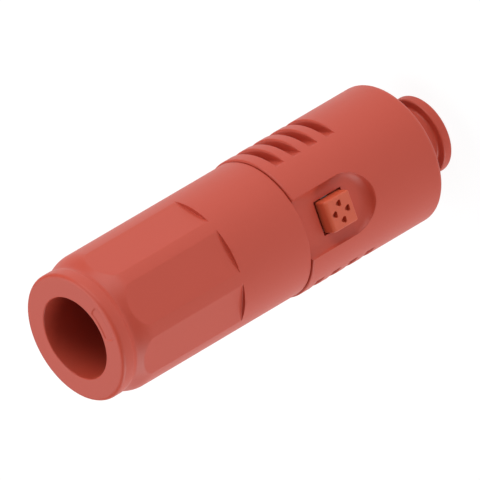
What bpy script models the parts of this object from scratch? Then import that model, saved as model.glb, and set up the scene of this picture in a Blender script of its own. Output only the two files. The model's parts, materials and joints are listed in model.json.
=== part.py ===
"""Single pole power plug with a cable gland nut and a press to release latch.

The plug stands on its nose. The axis of the plug is Z, the nose's front face lies at Z = 0,
and the cable enters from above. The release button faces -Y. All sizes are in metres.
"""

import math

import bmesh
import bpy

# Clearances between pieces.
SEAT_GAP = 0.0003        # between two pieces that rest on each other
SLIDE_GAP = 0.0004       # round the release button in its window
SNUG_GAP = 0.00015       # on either side of a ring in its groove
PRESS_GAP = 0.0001       # round a ring that springs out against its bore

# Edge roundings, from the finest to the widest.
EDGE_FINE = 0.0002
EDGE_SMALL = 0.0003
EDGE_SOFT = 0.0004
EDGE_WIDE = 0.0005

# Body shell: the outer moulding with the threaded tail.
BODY_WALL = 0.0042
BODY_LENGTH = 0.0407
BODY_FRONT_ROUND = 0.0014
PARTITION_THICKNESS = 0.0025
TAIL_LENGTH = 0.0360
TAIL_WALL = 0.0030
TIP_CAVITY_DEPTH = 0.0041

# Mating sleeve of the other half, which the body's front cavity takes in.
SLEEVE_ROOM = 0.0034
SLEEVE_STEP = 0.0017
SLEEVE_CATCH_DEPTH = 0.0005
SLEEVE_PLAY = 0.0002

# Grip grooves, cut as flats across both sides of the body.
GROOVE_COUNT = 4
GROOVE_WIDTH = 0.0025
GROOVE_PITCH = 0.0052
GROOVE_DEPTH = 0.00296
GROOVE_FROM_REAR = 0.0030

# Thumb pocket round the release button, open towards the gland nut.
POCKET_WIDTH = 0.0155
POCKET_DEPTH = 0.0026
POCKET_LENGTH = 0.0205

# Release button, latch plate and leaf spring.
BUTTON_FROM_REAR = 0.0100
BUTTON_LENGTH = 0.0074
BUTTON_WIDTH = 0.0074
BUTTON_PROUD = 0.0005
BUTTON_SKIN = 0.0013
BUTTON_OFF_PLATE = 0.00066
BUTTON_TRAVEL = 0.0012
PIT_RADIUS = 0.00065
PIT_DEPTH = 0.0006
PIT_SPACING = 0.0020
PLATE_THICKNESS = 0.0020
PLATE_RIM = 0.0014
PLATE_LOBE_RISE = 0.00084
PLATE_LOBE_START = 38.0
PLATE_TAB_WIDTH = 0.0044
SPRING_LEAF = 0.0003
SPRING_SPAN = 0.0092
SPRING_WIDTH = 0.0018
KEYWAY_WIDTH = 0.0110
KEYWAY_DEPTH = 0.0015
GUIDE_LENGTH = 0.0106
CIRCLIP_SIZE = 0.0010
CIRCLIP_OPENING = 0.0050
CIRCLIP_GROOVE_DEPTH = 0.0006

# Nose insulator.
NOSE_REACH = 0.0103
LIP_RISE = 0.0020
LIP_THICKNESS = 0.0026
LIP_ROUND = 0.0006
NECK_WALL = 0.0010
MOUTH_LEAD = 0.0006
MOUTH_DEPTH = 0.0032
MOUTH_CHAMFER = 0.0008
INSULATOR_FLANGE_LENGTH = 0.0067
FLANGE_WALL = 0.0023
INSULATOR_SEAL_OFFSET = 0.0011
CONTACT_SEAT_OFFSET = 0.0011
CONTACT_STEP = 0.0012
CLIP_THICKNESS = 0.0008
CLIP_DEPTH = 0.0008
CLIP_OPENING = 0.0024
LOCK_RING_LENGTH = 0.0032
LOCK_RING_LIP = 0.0001
LOCK_NOTCH_WIDTH = 0.0022
LOCK_NOTCH_DEPTH = 0.0013

# Socket contact and the grid of twisted strips inside it.
PIN_RADIUS = 0.0040
GRID_RISE = 0.00075
GRID_GAP = 0.00025
GRID_STRIPS = 10
GRID_STRIP_POINTS = 3
GRID_ROWS = 7
GRID_SLOT_SHARE = 0.36
GRID_SHEET = 0.0002
GRID_LENGTH = 0.0240
GRID_BAND = 0.0015
GRID_TWIST = 62.0
GRID_START = 0.0052
SOCKET_WALL = 0.0011
CONTACT_FLANGE_LENGTH = 0.0027
CRIMP_STEP = 0.0007
CRIMP_WALL = 0.0016
CRIMP_LENGTH = 0.0156
CRIMP_WEB = 0.0030
DRILL_CONE = 0.5
SIGHT_HOLE_RADIUS = 0.0011
GRID_COLLAR_LENGTH = 0.0016

# Round seals: the radius of each ring's section.
CONTACT_SEAL_SECTION = 0.00055
CONTACT_SEAL_DEPTH = 0.0030
INSULATOR_SEAL_SECTION = 0.00060
NUT_SEAL_SECTION = 0.00045
FACE_SEAL_THICKNESS = 0.0012

# Cable seal, claw and washers in the tail's mouth.
SEAL_POCKET_DEPTH = 0.0175
SEAL_POCKET_WALL = 0.0019
MOUTH_CONE_DEPTH = 0.0080
MOUTH_CONE_RISE = 0.0010
SUPPORT_WASHER_THICKNESS = 0.0012
CABLE_SEAL_LENGTH = 0.0087
CABLE_SEAL_GRIP = 0.0015
CABLE_SEAL_RIBS = 3
CABLE_SEAL_RIB_HEIGHT = 0.0005
CABLE_SEAL_CREST_SHARE = 0.25
CLAW_FINGERS = 12
CLAW_SLOT = 0.0012
CLAW_RING_LENGTH = 0.0030
CLAW_TIP_WALL = 0.0011
CLAW_TIP_PLAY = 0.0002
CLAW_SLOT_END = 0.0005
CLAMP_TRAVEL = 0.0015
THRUST_WASHER_THICKNESS = 0.0012

# Gland nut.
NUT_WALL = 0.0027
NUT_LENGTH = 0.0570
CABLE_BORE_LIP = 0.00005
NUT_THREAD_CLEARANCE = 0.0007
NUT_FLATS = 8
NUT_FLAT_DEPTH = 0.00084
NUT_FLAT_END = 0.0202
NUT_FLAT_TURN = 16.4
NUT_SEAL_SEAT_DEPTH = 0.0020
COLLAR_STEP = 0.0011
COLLAR_LENGTH = 0.0039
COLLAR_ROUND = 0.0010
SHOULDER_LENGTH = 0.0048
SHOULDER_STEP = 0.0004
END_RECESS_MARGIN = 0.00105
END_RECESS_WIDTH = 0.0026
END_RECESS_DEPTH = 0.0003
END_RECESS_SPAN = 36.0

# How finely round pieces are divided.
STEPS_LARGE = 48
STEPS_MEDIUM = 28
STEPS_SMALL = 20
RING_SIDES = 8
HOLE_SIDES = 12
POCKET_STEPS = 14
DISC_STEPS = 36
HOLE_STEPS = 30
LOBE_STEPS = 10
LEAF_STEPS = 12
SHOULDER_STEPS = 5
RECESS_STEPS = 8
ROLL_STEPS = 3

# Angles over which a face counts as round, in degrees.
SMOOTH_ANGLE = 32.0
SEAL_SMOOTH_ANGLE = 60.0

# How far a cutter passes the face that it opens, as a share of that face's radius.
CUT_BEYOND = 1.2

# Heights that follow from the sizes above.
body_front = NOSE_REACH
body_rear = body_front + BODY_LENGTH
tail_top = body_rear + TAIL_LENGTH
button_height = body_rear - BUTTON_FROM_REAR
plate_low = button_height - PLATE_THICKNESS / 2
plate_high = button_height + PLATE_THICKNESS / 2
chamber_low = plate_low - SEAT_GAP
chamber_high = plate_high + SEAT_GAP
guide_low = chamber_low - GUIDE_LENGTH
circlip_high = guide_low - SEAT_GAP
circlip_low = circlip_high - CIRCLIP_SIZE
cavity_end = chamber_high + TIP_CAVITY_DEPTH
partition_top = cavity_end + PARTITION_THICKNESS
flange_low = partition_top + SEAT_GAP
flange_high = flange_low + INSULATOR_FLANGE_LENGTH
lock_low = flange_high + SEAT_GAP
lock_high = lock_low + LOCK_RING_LENGTH
contact_seat = flange_low + CONTACT_SEAT_OFFSET
contact_flange_low = contact_seat + SEAT_GAP
contact_flange_high = contact_flange_low + CONTACT_FLANGE_LENGTH
clip_low = contact_flange_high + SEAT_GAP
clip_high = clip_low + CLIP_THICKNESS
contact_front = MOUTH_DEPTH + SEAT_GAP
crimp_top = contact_flange_high + CRIMP_LENGTH
seal_ledge = tail_top - SEAL_POCKET_DEPTH
support_low = seal_ledge + SEAT_GAP
support_high = support_low + SUPPORT_WASHER_THICKNESS
cable_seal_low = support_high + SEAT_GAP
cable_seal_high = cable_seal_low + CABLE_SEAL_LENGTH
claw_low = cable_seal_high + SEAT_GAP
claw_ring_low = tail_top + CLAMP_TRAVEL
claw_high = claw_ring_low + CLAW_RING_LENGTH
thrust_low = claw_high + SEAT_GAP
thrust_high = thrust_low + THRUST_WASHER_THICKNESS
nut_shoulder = thrust_high + SEAT_GAP
nut_low = body_rear + SEAT_GAP
nut_high = nut_low + NUT_LENGTH

# Radii from the pin outwards: the contact, the nose insulator and the body's front cavity.
grid_ring_radius = PIN_RADIUS + GRID_RISE
socket_bore = grid_ring_radius + GRID_GAP
socket_radius = socket_bore + SOCKET_WALL
contact_bore = socket_radius + SEAT_GAP
contact_recess = contact_bore + CONTACT_STEP
crimp_radius = contact_recess - CRIMP_STEP
crimp_bore = crimp_radius - CRIMP_WALL
mouth_radius = PIN_RADIUS + MOUTH_LEAD
neck_radius = contact_bore + NECK_WALL
lip_radius = neck_radius + LIP_RISE
neck_hole = neck_radius + SEAT_GAP
tip_bore = neck_hole + SLEEVE_ROOM
front_bore = tip_bore + SLEEVE_STEP
body_radius = front_bore + BODY_WALL
flange_radius = contact_recess + FLANGE_WALL
rear_bore = flange_radius + SEAT_GAP
lock_ring_bore = contact_recess - LOCK_RING_LIP

# Radii of the latch and of what is cut into the body's outside.
guide_radius = front_bore - SEAT_GAP
plate_radius = tip_bore + PLATE_RIM
plate_reach = plate_radius + PLATE_LOBE_RISE
button_back = plate_reach + BUTTON_OFF_PLATE
button_face = body_radius + BUTTON_PROUD
tab_room = button_face - BUTTON_SKIN
groove_floor = body_radius - GROOVE_DEPTH
pocket_floor = body_radius - POCKET_DEPTH

# Radii of the tail, the cable seal, the claw and the gland nut.
tail_radius = rear_bore + TAIL_WALL
seal_bore = tail_radius - SEAL_POCKET_WALL
mouth_bore = seal_bore + MOUTH_CONE_RISE
claw_tip_radius = seal_bore - CLAW_TIP_PLAY
claw_bore = claw_tip_radius - CLAW_TIP_WALL
cable_seal_bore = claw_bore - CABLE_SEAL_GRIP
nut_bore = tail_radius + NUT_THREAD_CLEARANCE
claw_ring_radius = nut_bore - SEAT_GAP
nut_radius = nut_bore + NUT_WALL
nut_flat_reach = nut_radius - NUT_FLAT_DEPTH
collar_radius = nut_radius - COLLAR_STEP
cable_bore = claw_bore - CABLE_BORE_LIP
end_recess_inner = cable_bore + END_RECESS_MARGIN
end_recess_outer = end_recess_inner + END_RECESS_WIDTH

parts = bpy.data.collections.new("power_plug")
helpers = bpy.data.collections.new("power_plug_cutters")


def clear_scene():
    for old in list(bpy.data.objects):
        bpy.data.objects.remove(old, do_unlink=True)
    for collection in (parts, helpers):
        bpy.context.scene.collection.children.link(collection)


def material(name, colour, roughness, metallic=0.0):
    made = bpy.data.materials.new(name)
    made.use_nodes = True
    shader = made.node_tree.nodes["Principled BSDF"]
    shader.inputs["Base Color"].default_value = (*colour, 1.0)
    shader.inputs["Roughness"].default_value = roughness
    shader.inputs["Metallic"].default_value = metallic
    return made


def add_object(name, mesh, finish=None, hidden=False):
    made = bpy.data.objects.new(name, mesh)
    (helpers if hidden else parts).objects.link(made)
    if finish:
        mesh.materials.append(finish)
    if hidden:
        made.hide_render = True
        made.display_type = "WIRE"
    return made


def polar(radius, degrees, centre=(0.0, 0.0)):
    """A point on a circle, with 0 degrees at +X and 90 at +Y."""
    turn = math.radians(degrees)
    return centre[0] + radius * math.cos(turn), centre[1] + radius * math.sin(turn)


def arc(radius, start, end, steps, centre=(0.0, 0.0)):
    return [polar(radius, start + (end - start) * i / steps, centre) for i in range(steps + 1)]


def rounded(corners, segments=2):
    """The corners of a closed outline as points, where a third number gives a corner's radius."""
    points = []
    for i, corner in enumerate(corners):
        here = (corner[0], corner[1])
        radius = corner[2] if len(corner) > 2 else 0.0
        if radius <= 0.0:
            points.append(here)
            continue
        before = corners[i - 1]
        after = corners[(i + 1) % len(corners)]
        to_before = math.atan2(before[1] - here[1], before[0] - here[0])
        to_after = math.atan2(after[1] - here[1], after[0] - here[0])
        opening = (to_after - to_before + math.pi) % (2 * math.pi) - math.pi
        middle = to_before + opening / 2
        reach = radius / abs(math.sin(opening / 2))
        centre = (here[0] + reach * math.cos(middle), here[1] + reach * math.sin(middle))
        sweep = math.copysign(math.pi - abs(opening), opening)
        for k in range(segments + 1):
            turn = middle + math.pi + sweep * (0.5 - k / segments)
            points.append((centre[0] + radius * math.cos(turn), centre[1] + radius * math.sin(turn)))
    return points


def turned(name, corners, steps, finish=None, hidden=False, segments=2):
    """A turned piece. Its outline, as (radius, height), runs down its outer side and up its bore."""
    outline = rounded(corners, segments)
    mesh = bpy.data.meshes.new(name)
    edges = [(i, (i + 1) % len(outline)) for i in range(len(outline))]
    mesh.from_pydata([(radius, 0.0, height) for radius, height in outline], edges, [])
    made = add_object(name, mesh, finish, hidden)
    screw = made.modifiers.new("turn", "SCREW")
    screw.axis = "Z"
    screw.angle = 2 * math.pi
    screw.steps = steps
    screw.render_steps = steps
    screw.use_merge_vertices = True
    screw.merge_threshold = 1e-6
    screw.use_smooth_shade = False
    return made


def flat_solid(name, outlines, thickness, finish=None, hidden=False, soft_edge=0.0):
    """A flat piece from its outlines in X and Y, centred on Z = 0. Inner outlines are holes."""
    curve = bpy.data.curves.new(name, "CURVE")
    curve.dimensions = "2D"
    curve.fill_mode = "BOTH"
    curve.extrude = thickness / 2 - soft_edge
    curve.bevel_depth = soft_edge
    curve.bevel_resolution = ROLL_STEPS
    for outline in outlines:
        spline = curve.splines.new("POLY")
        spline.points.add(len(outline) - 1)
        for point, (x, y) in zip(spline.points, outline):
            point.co = (x, y, 0.0, 1.0)
        spline.use_cyclic_u = True
    drawn = bpy.data.objects.new(name + "_outline", curve)
    helpers.objects.link(drawn)
    graph = bpy.context.evaluated_depsgraph_get()
    mesh = bpy.data.meshes.new_from_object(drawn.evaluated_get(graph))
    bpy.data.objects.remove(drawn, do_unlink=True)
    shape = bmesh.new()
    shape.from_mesh(mesh)
    bmesh.ops.remove_doubles(shape, verts=shape.verts, dist=1e-6)
    bmesh.ops.recalc_face_normals(shape, faces=shape.faces)
    shape.to_mesh(mesh)
    shape.free()
    mesh.name = name
    return add_object(name, mesh, finish, hidden)


def boxes(name, corners, finish=None, hidden=True):
    """One object made of boxes, each given by its lowest and highest corner."""
    shape = bmesh.new()
    for low, high in corners:
        cube = bmesh.ops.create_cube(shape, size=1.0)["verts"]
        size = [b - a for a, b in zip(low, high)]
        centre = [(a + b) / 2 for a, b in zip(low, high)]
        bmesh.ops.scale(shape, vec=size, verts=cube)
        bmesh.ops.translate(shape, vec=centre, verts=cube)
    mesh = bpy.data.meshes.new(name)
    shape.to_mesh(mesh)
    shape.free()
    return add_object(name, mesh, finish, hidden)


def rod(name, radius, length):
    """A plain round bar that drills a hole, centred on its middle, along Z."""
    shape = bmesh.new()
    bmesh.ops.create_cone(
        shape, cap_ends=True, segments=HOLE_SIDES, radius1=radius, radius2=radius, depth=length
    )
    mesh = bpy.data.meshes.new(name)
    shape.to_mesh(mesh)
    shape.free()
    return add_object(name, mesh, hidden=True)


def combine(target, tool, operation="DIFFERENCE"):
    step = target.modifiers.new(tool.name, "BOOLEAN")
    step.operation = operation
    step.object = tool
    step.solver = "EXACT"


def smooth(piece, degrees=SMOOTH_ANGLE):
    """Round faces are shaded smooth, and edges sharper than the angle stay crisp."""
    piece.data.shade_smooth()
    piece.data.set_sharp_from_angle(angle=math.radians(degrees))


def ring_section(radius, height, section):
    """The outline of a round seal, running down its outer side and up its inner side."""
    return [
        (radius + section * math.cos(turn), height + section * math.sin(turn))
        for turn in (math.pi / 2 - 2 * math.pi * i / RING_SIDES for i in range(RING_SIDES))
    ]


def facing_minus_y(piece):
    """Stands a flat piece up, so that its own Y is the plug's Z and its own Z points to -Y."""
    piece.rotation_euler = (math.pi / 2, 0.0, 0.0)


def groove_cutter(side):
    first = body_rear - GROOVE_FROM_REAR
    cuts = []
    for i in range(GROOVE_COUNT):
        high = first - i * GROOVE_PITCH
        ends = sorted((side * groove_floor, side * CUT_BEYOND * body_radius))
        cuts.append(((ends[0], -body_radius, high - GROOVE_WIDTH), (ends[1], body_radius, high)))
    return boxes("groove_cutter_" + ("right" if side > 0 else "left"), cuts)


def pocket_cutter():
    half = POCKET_WIDTH / 2 - POCKET_DEPTH
    front = body_rear - POCKET_LENGTH + POCKET_WIDTH / 2
    rear = body_rear + POCKET_WIDTH
    outline = arc(half, 180.0, 360.0, POCKET_STEPS, (0.0, front)) + [(half, rear), (-half, rear)]
    tall = 4 * POCKET_DEPTH
    cutter = flat_solid("pocket_cutter", [outline], tall, hidden=True, soft_edge=POCKET_DEPTH)
    facing_minus_y(cutter)
    cutter.location = (0.0, -(pocket_floor + tall / 2), 0.0)
    return cutter


def window_cutter():
    half_wide = BUTTON_WIDTH / 2 + SLIDE_GAP
    half_long = BUTTON_LENGTH / 2 + SLIDE_GAP
    inner = button_back - BUTTON_TRAVEL - SEAT_GAP
    low = (-half_wide, -CUT_BEYOND * body_radius, button_height - half_long)
    high = (half_wide, -inner, button_height + half_long)
    return boxes("window_cutter", [(low, high)])


def plate_outline(grow):
    """Round the latch plate, from the middle of the button's side: a disc with two low lobes."""
    radius = plate_radius + grow
    reach = plate_reach + grow
    half_travel = BUTTON_TRAVEL / 2
    side = math.degrees(math.asin(half_travel / radius))
    right = arc(reach, 270.0, 360.0 - PLATE_LOBE_START, LOBE_STEPS)
    back = arc(radius, -side, 180.0 + side, DISC_STEPS, (0.0, -half_travel))
    left = arc(reach, 180.0 + PLATE_LOBE_START, 270.0, LOBE_STEPS)
    return right + back + left[:-1]


def body_shell(finish):
    groove_low = circlip_low - SEAT_GAP
    groove_high = circlip_high + SNUG_GAP
    groove_radius = front_bore + CIRCLIP_GROOVE_DEPTH
    corners = [
        (mouth_bore, tail_top),
        (tail_radius, tail_top, EDGE_SOFT),
        (tail_radius, body_rear),
        (body_radius, body_rear, EDGE_WIDE),
        (body_radius, body_front, BODY_FRONT_ROUND),
        (front_bore, body_front, EDGE_WIDE),
        (front_bore, groove_low),
        (groove_radius, groove_low),
        (groove_radius, groove_high),
        (front_bore, groove_high),
        (front_bore, chamber_high),
        (tip_bore, chamber_high),
        (tip_bore, cavity_end),
        (neck_hole, cavity_end),
        (neck_hole, partition_top),
        (rear_bore, partition_top),
        (rear_bore, seal_ledge),
        (seal_bore, seal_ledge),
        (seal_bore, tail_top - MOUTH_CONE_DEPTH),
    ]
    shell = turned("body_shell", corners, STEPS_LARGE, finish)
    for side in (1, -1):
        combine(shell, groove_cutter(side))
    combine(shell, pocket_cutter())
    combine(shell, window_cutter())
    keyway_end = front_bore + KEYWAY_DEPTH
    low = (-KEYWAY_WIDTH / 2, tip_bore, body_front - KEYWAY_DEPTH)
    high = (KEYWAY_WIDTH / 2, keyway_end, chamber_high)
    combine(shell, boxes("keyway_cutter", [(low, high)]))
    for state, shift in (("resting", 0.0), ("pressed", BUTTON_TRAVEL)):
        outline = plate_outline(SEAT_GAP)
        name = "plate_room_cutter_" + state
        room = flat_solid(name, [outline], chamber_high - chamber_low, hidden=True)
        room.location = (0.0, shift, button_height)
        combine(shell, room)
    smooth(shell)


def insulator_seal_place():
    """The low end, the high end and the floor radius of the seal groove in the flange."""
    low = flange_low + INSULATOR_SEAL_OFFSET
    high = low + 2 * INSULATOR_SEAL_SECTION + SEAT_GAP
    return low, high, flange_radius - 2 * INSULATOR_SEAL_SECTION - SEAT_GAP


def nose_insulator(finish):
    seal_low, seal_high, seal_floor = insulator_seal_place()
    clip_radius = contact_recess + CLIP_DEPTH + SNUG_GAP
    corners = [
        (contact_recess, flange_high, EDGE_SMALL),
        (flange_radius, flange_high, EDGE_SMALL),
        (flange_radius, seal_high),
        (seal_floor, seal_high),
        (seal_floor, seal_low),
        (flange_radius, seal_low),
        (flange_radius, flange_low),
        (neck_radius, flange_low),
        (neck_radius, LIP_THICKNESS, EDGE_SOFT),
        (lip_radius, LIP_THICKNESS, EDGE_SOFT),
        (lip_radius, 0.0, LIP_ROUND),
        (mouth_radius + MOUTH_CHAMFER, 0.0),
        (mouth_radius, MOUTH_CHAMFER),
        (mouth_radius, MOUTH_DEPTH),
        (contact_bore, MOUTH_DEPTH),
        (contact_bore, contact_seat),
        (contact_recess, contact_seat),
        (contact_recess, clip_low - SNUG_GAP),
        (clip_radius, clip_low - SNUG_GAP),
        (clip_radius, clip_high + SNUG_GAP),
        (contact_recess, clip_high + SNUG_GAP),
    ]
    nose = turned("nose_insulator", corners, STEPS_MEDIUM, finish)
    smooth(nose)


def contact_seal_place():
    """The height and the floor radius of the seal groove round the contact."""
    return cavity_end - CONTACT_SEAL_DEPTH, socket_radius - 2 * CONTACT_SEAL_SECTION


def socket_contact(finish):
    seal_middle, seal_floor = contact_seal_place()
    half = CONTACT_SEAL_SECTION + SNUG_GAP
    grid_end = GRID_START + GRID_LENGTH + SEAT_GAP
    web_top = contact_flange_low + CRIMP_WEB
    flange = contact_recess - SEAT_GAP
    corners = [
        (crimp_bore, crimp_top, EDGE_FINE),
        (crimp_radius, crimp_top, EDGE_SOFT),
        (crimp_radius, contact_flange_high),
        (flange, contact_flange_high),
        (flange, contact_flange_low),
        (socket_radius, contact_flange_low),
        (socket_radius, seal_middle + half),
        (seal_floor - SEAT_GAP, seal_middle + half),
        (seal_floor - SEAT_GAP, seal_middle - half),
        (socket_radius, seal_middle - half),
        (socket_radius, contact_front, EDGE_SMALL),
        (socket_bore, contact_front),
        (socket_bore, grid_end),
        (0.0, grid_end + socket_bore * DRILL_CONE),
        (0.0, web_top),
        (crimp_bore, web_top + crimp_bore * DRILL_CONE),
    ]
    contact = turned("socket_contact", corners, STEPS_MEDIUM, finish)
    sight = rod("sight_hole_cutter", SIGHT_HOLE_RADIUS, 2 * crimp_radius)
    sight.rotation_euler = (math.pi / 2, 0.0, 0.0)
    sight.location = (0.0, -crimp_radius, web_top + crimp_bore)
    combine(contact, sight)
    smooth(contact)


def contact_grid(finish):
    """A sheet with long slots, rolled up and twisted, so that its strips lean in to a narrow waist."""
    columns = GRID_STRIPS * GRID_STRIP_POINTS
    low = GRID_START
    high = GRID_START + GRID_LENGTH
    slot_low = low + GRID_BAND
    slot_high = high - GRID_BAND
    rise = (slot_high - slot_low) / GRID_ROWS
    heights = [low] + [slot_low + rise * i for i in range(GRID_ROWS + 1)] + [high]
    radius = grid_ring_radius - GRID_SHEET / 2
    slot = 360.0 / GRID_STRIPS * GRID_SLOT_SHARE
    strip = 360.0 / GRID_STRIPS - slot
    shape = bmesh.new()
    grid = []
    for height in heights:
        share = min(max((height - slot_low) / (slot_high - slot_low), 0.0), 1.0)
        row = []
        for column in range(columns):
            step = column % GRID_STRIP_POINTS
            around = strip * step / (GRID_STRIP_POINTS - 1)
            around += 360.0 / GRID_STRIPS * (column // GRID_STRIP_POINTS)
            start = polar(radius, around)
            end = polar(radius, around + GRID_TWIST)
            x = start[0] + (end[0] - start[0]) * share
            y = start[1] + (end[1] - start[1]) * share
            row.append(shape.verts.new((x, y, height)))
        grid.append(row)
    last = len(heights) - 2
    for level in range(len(heights) - 1):
        for column in range(columns):
            in_slot = column % GRID_STRIP_POINTS == GRID_STRIP_POINTS - 1
            if in_slot and 0 < level < last:
                continue
            after = (column + 1) % columns
            shape.faces.new(
                (grid[level][column], grid[level][after], grid[level + 1][after], grid[level + 1][column])
            )
    mesh = bpy.data.meshes.new("contact_grid")
    shape.to_mesh(mesh)
    shape.free()
    made = add_object("contact_grid", mesh, finish)
    sheet = made.modifiers.new("sheet", "SOLIDIFY")
    sheet.thickness = GRID_SHEET
    sheet.offset = 0.0
    sheet.use_even_offset = False


def washer(name, inner, outer, low, high, steps, finish):
    corners = [(inner, high), (outer, high), (outer, low), (inner, low)]
    smooth(turned(name, corners, steps, finish))


def open_ring(name, inner, outer, low, high, gap, steps, finish):
    """A retaining ring with a gap facing +Y, wide enough to close it with pliers."""
    corners = [(inner, high), (outer, high), (outer, low), (inner, low)]
    made = turned(name, corners, steps, finish)
    low_corner = (-gap / 2, inner / 2, low - gap)
    high_corner = (gap / 2, outer + gap, high + gap)
    combine(made, boxes(name + "_gap_cutter", [(low_corner, high_corner)]))


def latch_guide(finish):
    corners = [
        (tip_bore, chamber_low),
        (guide_radius, chamber_low, EDGE_SMALL),
        (guide_radius, guide_low, EDGE_SMALL),
        (tip_bore, guide_low, EDGE_WIDE),
    ]
    guide = turned("latch_guide", corners, STEPS_MEDIUM, finish)
    half = KEYWAY_WIDTH / 2 - SEAT_GAP
    low = (-half, (tip_bore + guide_radius) / 2, guide_low)
    high = (half, front_bore + KEYWAY_DEPTH - SEAT_GAP, chamber_low)
    combine(guide, boxes("guide_key_adder", [(low, high)]), "UNION")
    smooth(guide)


def latch_plate(finish):
    """A stamped plate round the mating sleeve. Its far edge catches the sleeve's groove."""
    catch = tip_bore - SLEEVE_PLAY - SLEEVE_CATCH_DEPTH
    upper = (0.0, catch - tip_bore)
    lower = (0.0, -(BUTTON_TRAVEL + SLEEVE_PLAY / 2))
    hole = arc(tip_bore, 0.0, 180.0, HOLE_STEPS, upper)
    hole += arc(tip_bore, 180.0, 360.0, HOLE_STEPS, lower)
    half = PLATE_TAB_WIDTH / 2
    tab_end = SEAT_GAP - tab_room
    inner = -math.sqrt(plate_reach**2 - half**2)
    rim = [(x, y) for x, y in plate_outline(0.0) if y > 0.0 or abs(x) > half]
    tab = [(-half, inner), (-half, tab_end), (half, tab_end), (half, inner)]
    plate = flat_solid("latch_plate", [rim + tab, hole], PLATE_THICKNESS, finish)
    plate.location = (0.0, 0.0, button_height)


def release_button(finish):
    half_wide = BUTTON_WIDTH / 2
    half_long = BUTTON_LENGTH / 2
    low = (-half_wide, -half_long, button_back - button_face)
    high = (half_wide, half_long, 0.0)
    button = boxes("release_button", [(low, high)], finish, hidden=False)
    facing_minus_y(button)
    button.location = (0.0, -button_face, button_height)
    edge = button.modifiers.new("edges", "BEVEL")
    edge.width = EDGE_SOFT
    edge.segments = 2
    pits = [(-PIT_SPACING, 0.0), (PIT_SPACING, 0.0), (0.0, -PIT_SPACING), (0.0, PIT_SPACING)]
    for number, (x, along) in enumerate(pits):
        pit = rod("pit_cutter_" + str(number + 1), PIT_RADIUS, 2 * PIT_DEPTH)
        pit.rotation_euler = (math.pi / 2, 0.0, 0.0)
        pit.location = (x, -button_face, button_height + along)
        combine(button, pit)
    half = PLATE_TAB_WIDTH / 2 + SEAT_GAP
    slot_low = (-half, -tab_room, plate_low - SEAT_GAP)
    slot_high = (half, -button_back + SEAT_GAP, plate_high + SEAT_GAP)
    combine(button, boxes("tab_slot_cutter", [(slot_low, slot_high)]))
    smooth(button)


def latch_spring(finish):
    """A bowed leaf between the plate's far edge and the end of the keyway."""
    wall = front_bore + KEYWAY_DEPTH - SEAT_GAP
    plate_end = plate_radius - BUTTON_TRAVEL / 2
    crown = plate_end + SEAT_GAP
    rise = wall - crown - SPRING_LEAF
    half = SPRING_SPAN / 2
    bend = (half**2 + rise**2) / (2 * rise)
    swing = math.degrees(math.asin(half / bend))
    centre = (0.0, crown + bend + SPRING_LEAF)
    outer = arc(bend + SPRING_LEAF, 270.0 - swing, 270.0 + swing, LEAF_STEPS, centre)
    inner = arc(bend, 270.0 + swing, 270.0 - swing, LEAF_STEPS, centre)
    spring = flat_solid("latch_spring", [outer + inner], SPRING_WIDTH, finish)
    spring.location = (0.0, 0.0, button_height)


def insulator_lock_ring(finish):
    corners = [
        (lock_ring_bore, lock_high, EDGE_SMALL),
        (flange_radius, lock_high, EDGE_SMALL),
        (flange_radius, lock_low, EDGE_SMALL),
        (lock_ring_bore, lock_low, EDGE_SMALL),
    ]
    ring = turned("insulator_lock_ring", corners, STEPS_MEDIUM, finish, segments=1)
    for number, turn in enumerate((0.0, 90.0)):
        low = (-CUT_BEYOND * flange_radius, -LOCK_NOTCH_WIDTH / 2, lock_high - LOCK_NOTCH_DEPTH)
        high = (CUT_BEYOND * flange_radius, LOCK_NOTCH_WIDTH / 2, lock_high + LOCK_NOTCH_DEPTH)
        notch = boxes("lock_notch_cutter_" + str(number + 1), [(low, high)])
        notch.rotation_euler = (0.0, 0.0, math.radians(turn))
        combine(ring, notch)
    smooth(ring)


def cable_seal(finish):
    outer = seal_bore - SEAT_GAP
    valley = cable_seal_bore + CABLE_SEAL_RIB_HEIGHT
    rib_pitch = CABLE_SEAL_LENGTH / CABLE_SEAL_RIBS
    crest = rib_pitch * CABLE_SEAL_CREST_SHARE / 2
    corners = [(valley, cable_seal_high), (outer, cable_seal_high, EDGE_WIDE)]
    corners += [(outer, cable_seal_low, EDGE_WIDE), (valley, cable_seal_low)]
    for i in range(CABLE_SEAL_RIBS):
        middle = cable_seal_low + rib_pitch * (i + 0.5)
        corners.append((cable_seal_bore, middle - crest, EDGE_FINE))
        corners.append((cable_seal_bore, middle + crest, EDGE_FINE))
        if i < CABLE_SEAL_RIBS - 1:
            corners.append((valley, middle + rib_pitch / 2))
    seal = turned("cable_seal", corners, STEPS_MEDIUM, finish, segments=1)
    smooth(seal)


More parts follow.
